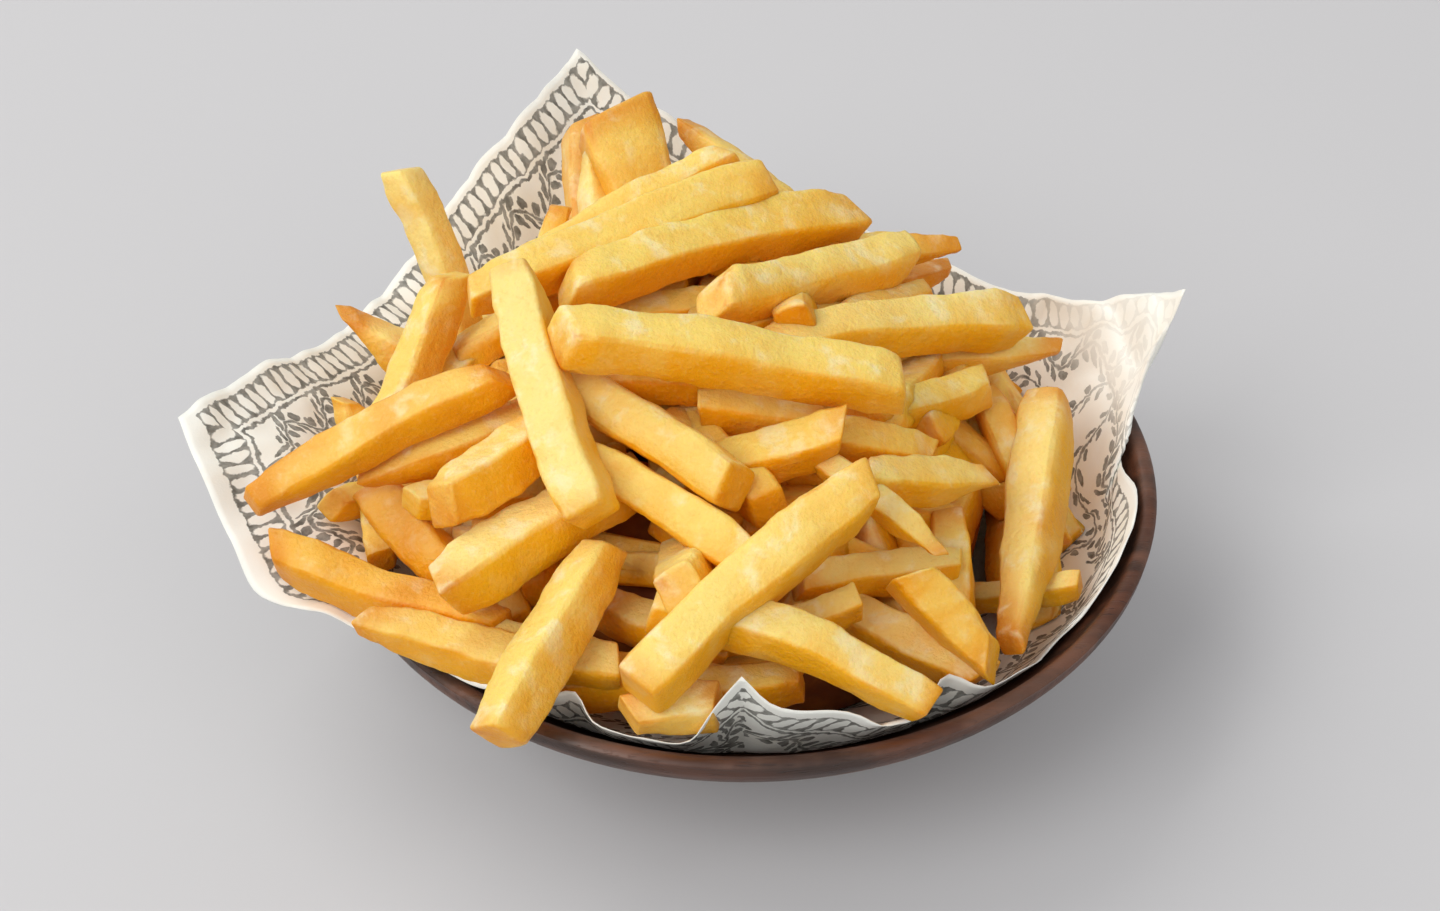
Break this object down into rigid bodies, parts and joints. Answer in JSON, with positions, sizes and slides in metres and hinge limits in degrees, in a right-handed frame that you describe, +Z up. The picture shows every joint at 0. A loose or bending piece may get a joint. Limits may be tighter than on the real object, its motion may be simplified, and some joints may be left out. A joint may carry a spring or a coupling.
{
  "type": "french fries portion in a wooden bowl",
  "caption": "Heap of thick-cut french fries on a printed square paper liner in a shallow dark turned wooden bowl.",
  "frame": {"origin": "centre of the bowl's flat foot, on the surface it stands on", "axes": "+Z up along the bowl's turning axis, -Y towards the front of the serving, +X to its right"},
  "size_m": [0.1924, 0.1745, 0.097],
  "materials": {
    "wood": "dark stained, satin",
    "paper": "thin printed food paper",
    "fries": "fried potato, softly glossy"
  },
  "bodies": {
    "root": {"bowl": "wood", "paper_liner": "paper", "fries_heap": "fries"}
  },
  "joints": []
}
